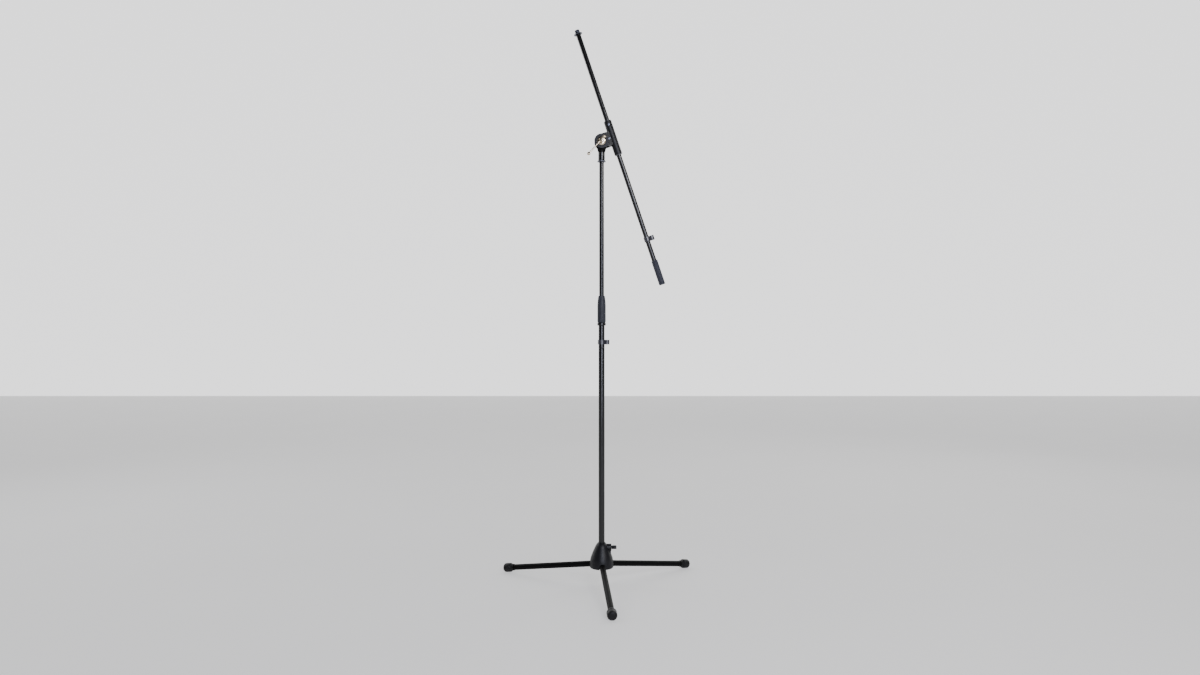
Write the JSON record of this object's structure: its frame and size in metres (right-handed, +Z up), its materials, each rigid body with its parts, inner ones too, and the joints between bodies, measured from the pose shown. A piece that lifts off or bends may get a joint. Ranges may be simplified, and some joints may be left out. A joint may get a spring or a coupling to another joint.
{
  "type": "boom microphone stand",
  "caption": "Floor stand for a microphone: folding tripod base, telescopic pole with twist clutch, and a boom arm that tilts, turns and slides in a clamp.",
  "frame": {"origin": "centre of the flat underside of the pole's end plug, on the pole axis, 50 mm above the floor that the feet stand on", "axes": "+Z up along the pole; +X to the side on which the boom hangs down; -Y the side of the clamp screw and its sliding bar"},
  "size_m": [0.642, 0.5841, 1.7983],
  "materials": {
    "black_enamel": "glossy black enamel on steel tube",
    "satin_black_metal": "satin black powder coat",
    "satin_black_plastic": "satin black moulded plastic with a fine grain",
    "inner_plastic": "plain dark grey moulded plastic",
    "clutch_grey": "matte dark blue-grey moulded plastic",
    "black_rubber": "matte black rubber",
    "grip_rubber": "matte dark blue-grey rubber",
    "bright_nickel": "polished nickel plating, slightly warm",
    "plain_steel": "turned steel, plain",
    "black_plated_steel": "black plating on turned steel, satin",
    "brass": "plain turned brass"
  },
  "bodies": {
    "base": {"base_hub": "satin_black_plastic", "leg_pin_1": "plain_steel", "leg_pin_2": "plain_steel", "leg_pin_3": "plain_steel", "lock_insert": "brass", "lock_pad": "inner_plastic"},
    "leg_1": {"leg_tube_1": "satin_black_metal", "leg_knuckle_1": "inner_plastic", "foot_1": "black_rubber"},
    "leg_2": {"leg_tube_2": "satin_black_metal", "leg_knuckle_2": "inner_plastic", "foot_2": "black_rubber"},
    "leg_3": {"leg_tube_3": "satin_black_metal", "leg_knuckle_3": "inner_plastic", "foot_3": "black_rubber"},
    "base_lock": {"lock_knob": "satin_black_plastic", "lock_stud": "plain_steel"},
    "pole": {"lower_tube": "black_enamel", "pole_end_plug": "black_rubber", "clutch_collet": "inner_plastic", "clutch_ring": "black_enamel"},
    "clutch": {"clutch_grip": "clutch_grey"},
    "lower_clip": {"pole_clip": "satin_black_plastic"},
    "guide": {"guide_bush": "inner_plastic"},
    "upper_pole": {"upper_tube": "black_enamel", "top_fitting": "black_plated_steel", "swivel_collar": "black_enamel", "pivot_lug": "satin_black_metal"},
    "boom_clamp": {"clamp_front": "satin_black_metal", "clamp_back": "satin_black_metal", "friction_washer_front": "inner_plastic", "friction_washer_back": "inner_plastic", "clamp_nut": "plain_steel", "shell_screw": "black_plated_steel", "liner_screw_front": "black_plated_steel", "liner_screw_back": "black_plated_steel"},
    "clamp_handle": {"cup_washer": "bright_nickel", "clamp_screw": "bright_nickel"},
    "sliding_bar": {"tommy_bar": "bright_nickel", "bar_ball_1": "bright_nickel", "bar_ball_2": "bright_nickel"},
    "liner": {"boom_liner": "inner_plastic"},
    "boom": {"boom_tube": "black_enamel", "tip_fitting": "black_plated_steel", "boom_grip": "grip_rubber"},
    "upper_clip": {"boom_clip": "satin_black_plastic"}
  },
  "joints": [
    {"name": "leg_1_fold", "type": "hinge", "parent": "base", "child": "leg_1", "pos_m": [0.00197, -0.02392, 0.015], "axis": [0.9966, 0.0819, 0], "range_deg": [0, 80]},
    {"name": "leg_2_fold", "type": "hinge", "parent": "base", "child": "leg_2", "pos_m": [0.01973, 0.01366, 0.015], "axis": [-0.5693, 0.8221, 0], "range_deg": [0, 80]},
    {"name": "leg_3_fold", "type": "hinge", "parent": "base", "child": "leg_3", "pos_m": [-0.0217, 0.01026, 0.015], "axis": [-0.4274, -0.9041, 0], "range_deg": [0, 80]},
    {"name": "base_lock_turn", "type": "hinge", "parent": "base", "child": "base_lock", "pos_m": [0.04, 0, 0.07], "axis": [1, 0, 0], "range_deg": [0, 450]},
    {"name": "pole_slide", "type": "slide", "parent": "base", "child": "pole", "axis": [0, 0, -1], "range_m": [0, 0.27]},
    {"name": "clutch_turn", "type": "hinge", "parent": "pole", "child": "clutch", "pos_m": [0, 0, 0.84], "axis": [0, 0, 1], "range_deg": [0, 90]},
    {"name": "lower_clip_slide", "type": "slide", "parent": "pole", "child": "lower_clip", "axis": [0, 0, 1], "range_m": [-0.6, 0.04]},
    {"name": "height_slide", "type": "slide", "parent": "pole", "child": "guide", "axis": [0, 0, 1], "range_m": [-0.43, 0.23]},
    {"name": "pan", "type": "hinge", "parent": "guide", "child": "upper_pole", "pos_m": [0, 0, 1], "axis": [0, 0, 1], "continuous": true},
    {"name": "boom_tilt", "type": "hinge", "parent": "upper_pole", "child": "boom_clamp", "pos_m": [0, 0, 1.3849], "axis": [0, -1, 0], "range_deg": [-18.6, 161.4]},
    {"name": "clamp_screw_turn", "type": "hinge", "parent": "boom_clamp", "child": "clamp_handle", "pos_m": [0, -0.03, 1.3849], "axis": [0, -1, 0], "range_deg": [0, 450]},
    {"name": "tommy_bar_slide", "type": "slide", "parent": "clamp_handle", "child": "sliding_bar", "axis": [0.682, 0, 0.7314], "range_m": [0, 0.0465]},
    {"name": "boom_spin", "type": "hinge", "parent": "boom_clamp", "child": "liner", "pos_m": [0.03696, 0, 1.39734], "axis": [-0.319, 0, 0.9478], "continuous": true},
    {"name": "boom_slide", "type": "slide", "parent": "liner", "child": "boom", "axis": [-0.319, 0, 0.9478], "range_m": [-0.29, 0.275]},
    {"name": "upper_clip_slide", "type": "slide", "parent": "boom", "child": "upper_clip", "axis": [0.319, 0, -0.9478], "range_m": [-0.27, 0.06]}
  ]
}
